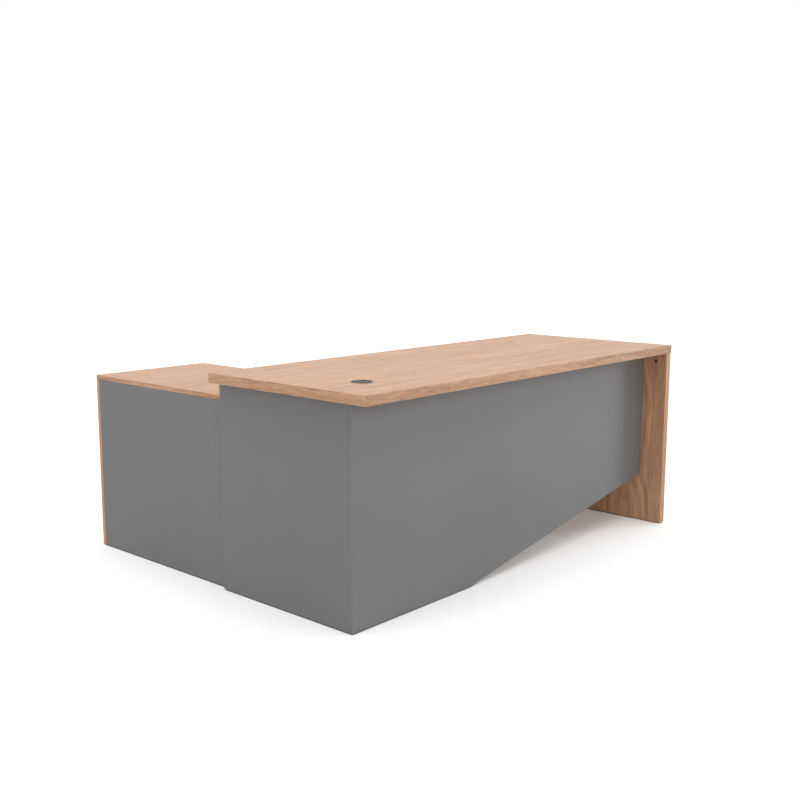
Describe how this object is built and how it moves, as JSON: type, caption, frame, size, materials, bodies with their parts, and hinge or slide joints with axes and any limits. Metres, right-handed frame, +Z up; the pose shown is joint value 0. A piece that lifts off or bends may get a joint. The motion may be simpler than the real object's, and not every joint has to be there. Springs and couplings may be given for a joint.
{
  "type": "l-shaped office desk",
  "caption": "L-shaped panelled office desk in oak and grey laminate, with a cable grommet and a lower storage return with drawers, an open bay and a locking cupboard.",
  "frame": {"origin": "on the floor, under the middle of the desk's box", "axes": "+Z up, +X along the desktop to the visitor's right, +Y from the visitor's side to the user's side, along the return"},
  "size_m": [1.8, 1.45, 0.742],
  "materials": {
    "oak_laminate": "light oak laminate, satin, on chipboard",
    "grey_laminate": "neutral grey laminate, matt, on chipboard",
    "graphite_plastic": "moulded, fine texture",
    "black_plastic": "moulded",
    "zinc_steel": "zinc plated",
    "tray_paint": "light grey powder coat on folded steel",
    "satin_steel": "satin nickel"
  },
  "bodies": {
    "desk": {"desktop": "oak_laminate", "right_leg_panel": "oak_laminate", "modesty_panel": "grey_laminate", "left_side_panel": "grey_laminate", "grommet_liner": "graphite_plastic", "leg_front_cam": "graphite_plastic", "leg_rear_cam": "graphite_plastic", "modesty_left_cam": "graphite_plastic", "modesty_right_cam": "graphite_plastic", "leg_front_bolt": "zinc_steel", "leg_rear_bolt": "zinc_steel", "modesty_left_bolt": "zinc_steel", "modesty_right_bolt": "zinc_steel", "glide_1": "black_plastic", "glide_2": "black_plastic", "glide_3": "black_plastic", "glide_4": "black_plastic", "glide_5": "black_plastic", "glide_6": "black_plastic", "return_top": "oak_laminate", "return_end_panel": "oak_laminate", "return_back_panel": "grey_laminate", "return_inner_panel": "grey_laminate", "return_floor": "grey_laminate", "return_plinth": "grey_laminate", "bay_partition": "grey_laminate", "cupboard_partition": "grey_laminate", "bay_shelf": "grey_laminate", "cupboard_shelf": "grey_laminate", "shelf_pin_1": "zinc_steel", "shelf_pin_2": "zinc_steel", "shelf_pin_3": "zinc_steel", "shelf_pin_4": "zinc_steel", "shelf_pin_5": "zinc_steel", "shelf_pin_6": "zinc_steel", "shelf_pin_7": "zinc_steel", "shelf_pin_8": "zinc_steel", "runner_near_1": "zinc_steel", "runner_near_2": "zinc_steel", "runner_near_3": "zinc_steel", "runner_far_1": "zinc_steel", "runner_far_2": "zinc_steel", "runner_far_3": "zinc_steel"},
    "drawer_1": {"drawer_front_1": "grey_laminate", "drawer_tray_1": "tray_paint", "drawer_handle_1": "satin_steel"},
    "drawer_2": {"drawer_front_2": "grey_laminate", "drawer_tray_2": "tray_paint", "drawer_handle_2": "satin_steel"},
    "drawer_3": {"drawer_front_3": "grey_laminate", "drawer_tray_3": "tray_paint", "drawer_handle_3": "satin_steel"},
    "door": {"cupboard_door": "grey_laminate", "door_handle": "satin_steel", "door_pivot_top": "zinc_steel", "door_pivot_bottom": "zinc_steel", "lock_barrel": "satin_steel"},
    "lock": {"lock_plug": "satin_steel", "lock_cam": "zinc_steel"},
    "cap": {"grommet_cap": "graphite_plastic"}
  },
  "joints": [
    {"name": "drawer_1_slide", "type": "slide", "parent": "desk", "child": "drawer_1", "axis": [1, 0, 0], "range_m": [0, 0.33]},
    {"name": "drawer_2_slide", "type": "slide", "parent": "desk", "child": "drawer_2", "axis": [1, 0, 0], "range_m": [0, 0.33]},
    {"name": "drawer_3_slide", "type": "slide", "parent": "desk", "child": "drawer_3", "axis": [1, 0, 0], "range_m": [0, 0.33]},
    {"name": "door_hinge", "type": "hinge", "parent": "desk", "child": "door", "pos_m": [-0.3507, 0.697, 0.079], "axis": [0, 0, 1], "range_deg": [0, 100]},
    {"name": "lock_turn", "type": "hinge", "parent": "door", "child": "lock", "pos_m": [-0.3427, 0.3815, 0.584], "axis": [1, 0, 0], "range_deg": [0, 90]},
    {"name": "cap_turn", "type": "hinge", "parent": "desk", "child": "cap", "pos_m": [-0.71, -0.529, 0.74], "axis": [0, 0, 1], "continuous": true}
  ]
}
